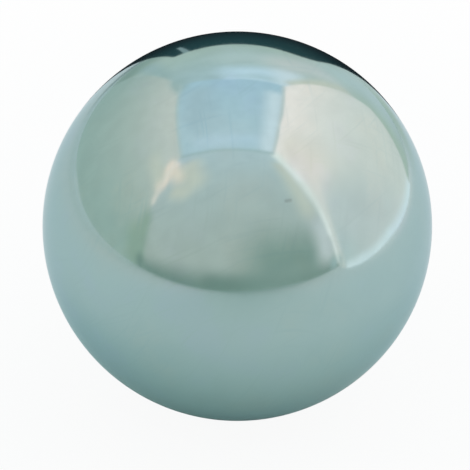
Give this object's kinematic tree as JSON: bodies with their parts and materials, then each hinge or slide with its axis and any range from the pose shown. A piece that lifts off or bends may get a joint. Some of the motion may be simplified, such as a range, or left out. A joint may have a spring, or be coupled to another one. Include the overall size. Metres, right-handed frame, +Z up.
{
  "type": "steel ball",
  "caption": "Solid polished steel ball, a true sphere that rolls freely or seats in a cup, cone or ring.",
  "frame": {"origin": "centre of the ball", "axes": "+Z up, away from what the ball sits in; every line through the centre is an axis of symmetry, so +X and +Y are free"},
  "size_m": [0.0254, 0.0254, 0.0254],
  "materials": {
    "polished_steel": "polished"
  },
  "bodies": {
    "root": {"ball": "polished_steel"}
  },
  "joints": []
}
